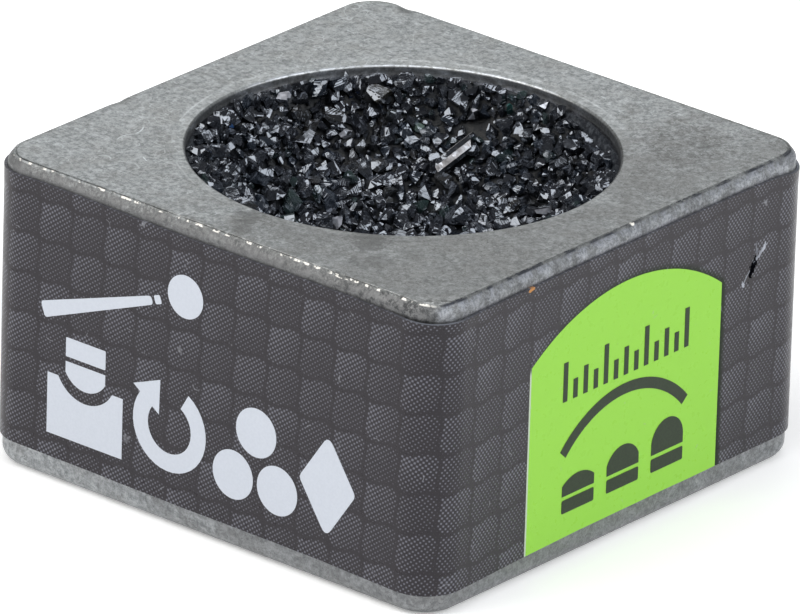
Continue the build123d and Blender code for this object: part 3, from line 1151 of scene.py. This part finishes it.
def make_crystals(name, node, bowl, material, seed, bands, closeness, sink, landmarks=(), bare=()):
    """Loose-shaped crystals bedded on a bowl's resin, each a closed faceted solid."""
    rng = random.Random(seed)
    shapes = [crystal_shape(rng, long=i % 16 == 0) for i in range(SHAPES)]
    sphere_r = bowl.radius - bowl.resin
    rim_angle = math.acos(bowl.rim_drop() / sphere_r)
    bed = scatter_crystals(rng, sphere_r, rim_angle, bands, closeness, landmarks, bare)
    points, faces, tints, gloss, axes = [], [], [], [], []
    for spot, size, colour, direction in bed:
        shape, sides = rng.choice(shapes)
        turn = Quaternion([rng.gauss(0, 1) for _ in range(4)]).normalized()
        if direction:
            shape, sides = prism_shape()
            turn = Vector(direction).to_track_quat("X", "Z")
        inward = -spot.normalized()
        centre = spot + inward * size * rng.uniform(-sink, 0.6 - sink)
        corners = [turn @ p * size + centre for p in shape]
        over = max(math.hypot(p.x, p.y) for p in corners) - (MOUTH - 0.02)
        if over > 0:
            level = Vector((centre.x, centre.y, 0.0)).normalized()
            corners = [p - level * over * 1.05 for p in corners]
        rise = max(p.z for p in corners) + bowl.rim_drop() - TALLEST
        if rise > 0:
            corners = [p - Vector((0.0, 0.0, rise)) for p in corners]
        first = len(points)
        points += [(p.x, p.y * bowl.up, p.z * bowl.up + bowl.centre_z) for p in corners]
        faces += [tuple(first + i for i in side) for side in sides]
        tints += [face_tint_and_shade(rng, colour, direction, k) for k in range(len(sides))]
        gloss += [rng.choice(GLOSSES) for _ in sides]
        axes += [tuple(turn @ Vector((1.0, 0.0, 0.0)))] * len(corners)
    mesh = make_piece(name, points, faces, material, "black_crystal", node).data
    add_values(mesh, "tint", "FLOAT_COLOR", "FACE", "color", flattened(tints))
    add_values(mesh, "axis", "FLOAT_VECTOR", "POINT", "vector", flattened(axes))
    add_values(mesh, "gloss", "FLOAT", "FACE", "value", gloss)


BOND_COLUMNS, BOND_ROWS = 220, 48


def make_bond(name, node, bowl, material):
    """A lumpy resin layer with an uneven edge, as a closed shell."""
    rim_angle = math.acos(bowl.rim_drop() / bowl.radius)
    points = []
    for inner in (True, False):
        for row in range(1, BOND_ROWS + 1):
            for i in range(BOND_COLUMNS):
                turn = math.tau * i / BOND_COLUMNS
                ragged = 0.012 * wobble(math.cos(turn) * 6, math.sin(turn) * 6, 0, 1.0, 4.0)
                angle = (rim_angle - 0.012 + ragged) * row / BOND_ROWS
                x, y = math.sin(angle) * math.cos(turn), math.sin(angle) * math.sin(turn)
                radius = bowl.radius - 0.004
                if inner:
                    lumps = wobble(x, y, 0, 9.0, 2.0) + 0.5 * wobble(x, y, 0, 30.0, 8.0)
                    radius = bowl.radius - bowl.resin * (1.0 + 0.35 * lumps)
                z = bowl.centre_z - bowl.up * math.cos(angle) * radius
                points.append((x * radius, y * radius * bowl.up, z))
    piece = make_piece(name, points, bond_faces(BOND_COLUMNS, BOND_ROWS), material, "dark_resin", node)
    smooth(piece.data, 60)


def bond_faces(columns, rows):
    """Skin of a bowl-shaped shell whose two sides are grids of rows by columns points."""
    inner, outer = grid_lines(0, rows, columns), grid_lines(rows * columns, rows, columns)
    faces = quads(inner, closed=True, flip=True) + quads(outer, closed=True)
    faces += quads([inner[-1], outer[-1]], closed=True, flip=True)
    return faces + [inner[0][::-1], outer[0]]


# ---- build the object

film = printed_film(SIDE)
white_ink = printed_ink("white_ink", (0.62, 0.66, 0.735), (0.65, 0.69, 0.765), 0.28)
dark_ink = printed_ink("dark_ink", (0.019, 0.032, 0.015), (0.027, 0.044, 0.021), 0.28)
crystal_look = crystal_material()
resin_look = resin_material()

make_block(cast_metal())
make_wrap(film)
thin_marks, bold_marks = white_marks()
make_print("print_thin_signs", thin_marks, white_ink, "printed_film", 0)
make_print("print_bold_signs", bold_marks, white_ink, "printed_film", 0)
make_print("print_panel_signs", dark_marks(), dark_ink, "printed_film", 1)
make_bond("shaper_resin", "shaper_bond", SHAPER, resin_look)
make_bond("scuffer_resin", "scuffer_bond", SCUFFER, resin_look)
# Pale colour that paints a crystal as a highlight.
PALE_GLINT = (0.58, 0.59, 0.65)
LANDMARKS = (  # (x, y, size, colour, direction) of single crystals that stand out
    (-5.8, 5.2, 0.82, (0.045, 0.042, 0.034), None),
    (-5.0, 5.3, 0.46, (0.10, 0.11, 0.115), None),
    (-4.0, 5.7, 0.5, (0.14, 0.195, 0.17), None),
    (-1.0, 7.7, 0.46, (0.03, 0.14, 0.125), None),
    # a pale prism painted as a highlight, its sides alternating with painted shade
    (-2.1, 5.9, 0.9, (0.62, 0.60, 0.61), (0.62, 1.3, 0.9)),
    (-0.3, 4.0, 0.72, (0.008, 0.009, 0.012), None),
    (-7.7, -1.2, 0.19, (0.06, 0.17, 0.45), None),
    (-6.4, 4.4, 0.16, (0.05, 0.14, 0.38), None),
)
GLINT_CRYSTALS = (  # (x, y, size) of crystals painted pale as highlights, with some faces in painted shade
    (0.3, 8.0, 0.42),
    (-2.3, 7.1, 0.42),
    (-7.7, 1.8, 0.42),
    (-6.7, -4.0, 0.46),
    (-5.8, 3.6, 0.42),
    (-4.9, 4.1, 0.38),
    (-3.6, 0.4, 0.46),
    (3.2, 4.9, 0.5),
    (4.9, 4.5, 0.44),
    (-4.0, 3.2, 0.5),
)
BARE = (  # (x, y, reach) of places where the resin shows
    (0.9, 8.1, 0.42),
    (1.9, 7.95, 0.5),
    (2.9, 7.65, 0.6),
    (3.9, 7.2, 0.65),
    (4.8, 6.6, 0.65),
    (5.6, 5.95, 0.55),
    (6.3, 5.2, 0.42),
    (-2.0, 6.95, 0.5),
)
# Bands are (smallest size, largest size, tries). closeness is how near two crystals may stand.
SHAPER_BED = {
    "seed": 353,
    "bands": ((0.52, 0.68, 120), (0.4, 0.52, 1400), (0.28, 0.4, 5000), (0.18, 0.28, 7000), (0.1, 0.18, 3000)),
    "closeness": 0.44,
    "sink": 0.0,
    "landmarks": LANDMARKS + tuple((*spot, PALE_GLINT, None) for spot in GLINT_CRYSTALS),
    "bare": BARE,
}
SCUFFER_BED = {
    "seed": 77,
    "bands": ((0.2, 0.28, 900), (0.14, 0.2, 6000), (0.09, 0.14, 9000)),
    "closeness": 0.66,
    "sink": 0.1,
}
make_crystals("shaper_crystals", "shaper_grit", SHAPER, crystal_look, **SHAPER_BED)
make_crystals("scuffer_crystals", "scuffer_grit", SCUFFER, crystal_look, **SCUFFER_BED)


# ---- stage


FLOOR_REACH = 2.0


def make_floor():
    corners = [(x * FLOOR_REACH, y * FLOOR_REACH, 0) for x, y in ((-1, -1), (1, -1), (1, 1), (-1, 1))]
    mesh = bpy.data.meshes.new("floor")
    mesh.from_pydata(corners, [], [(0, 1, 2, 3)])
    mesh.materials.append(floor_material())
    add_object("floor", mesh)


def towards(azimuth, elevation):
    """The way to something at these angles in radians. Azimuth 0 is -Y, and it grows towards +X."""
    level = math.cos(elevation)
    return Vector((math.sin(azimuth) * level, -math.cos(azimuth) * level, math.sin(elevation)))


def softbox(name, azimuth, elevation, distance, width, height, power, colour):
    """An area light that looks at the object, at angles in degrees."""
    back = towards(math.radians(azimuth), math.radians(elevation))
    light = bpy.data.lights.new(name, "AREA")
    light.shape = "RECTANGLE"
    light.size, light.size_y = width, height
    light.energy = power
    light.color = colour
    lamp = add_object(name, light)
    lamp.location = back * distance + Vector((0, 0, HEIGHT / 2 * MM))
    lamp.rotation_mode = "QUATERNION"
    lamp.rotation_quaternion = (-back).to_track_quat("-Z", "Y")


VIEW_AZIMUTH, VIEW_ELEVATION, VIEW_ROLL = math.radians(39.53), math.radians(23.37), math.radians(1.76)
VIEW_DISTANCE = 25.167  # in widths of the block
SENSOR = 36.0
LENS = 18.3 * SENSOR
LENS_SHIFT = (-0.0074, -0.0233)


def make_camera():
    """The photograph's view: a long lens a little more than half a metre away."""
    back = towards(VIEW_AZIMUTH, VIEW_ELEVATION)
    level = Vector((math.cos(VIEW_AZIMUTH), math.sin(VIEW_AZIMUTH), 0.0))
    upright = back.cross(level)
    right = level * math.cos(VIEW_ROLL) + upright * math.sin(VIEW_ROLL)
    up = upright * math.cos(VIEW_ROLL) - level * math.sin(VIEW_ROLL)
    width = WIDTH * MM
    target = Vector((0, 0, 0.28 * width)) + (right * 0.013 + up * 0.028) * width
    data = bpy.data.cameras.new("camera")
    data.sensor_width, data.lens = SENSOR, LENS
    data.shift_x, data.shift_y = LENS_SHIFT
    data.clip_start, data.clip_end = 0.01, 10.0
    camera = add_object("camera", data)
    turn = Matrix((right, up, back)).transposed().to_4x4()
    camera.matrix_world = Matrix.Translation(target + back * VIEW_DISTANCE * width) @ turn
    bpy.context.scene.camera = camera


# Angles in degrees, lengths in metres and power in watts.
SOFTBOXES = (  # (name, azimuth, elevation, distance, width, height, power, colour)
    ("key", -35, 45, 0.5, 0.38, 0.38, 1.45, (1.0, 0.985, 0.96)),
    ("right_fill", 105, 38, 0.5, 0.38, 0.38, 1.3, (0.96, 0.98, 1.0)),
    ("back", 215, 38, 0.55, 0.4, 0.25, 0.58, (0.97, 0.985, 1.0)),
    ("overhead", 30, 72, 0.5, 0.30, 0.30, 0.9, (0.98, 0.99, 1.0)),
)


def light_scene():
    world = bpy.data.worlds.new("studio")
    world.use_nodes = True
    background = world.node_tree.nodes["Background"]
    background.inputs["Color"].default_value = (0.95, 0.97, 1.0, 1.0)
    background.inputs["Strength"].default_value = 0.07
    bpy.context.scene.world = world
    bpy.context.scene.view_settings.view_transform = "Standard"
    for box in SOFTBOXES:
        softbox(*box)


make_floor()
make_camera()
light_scene()
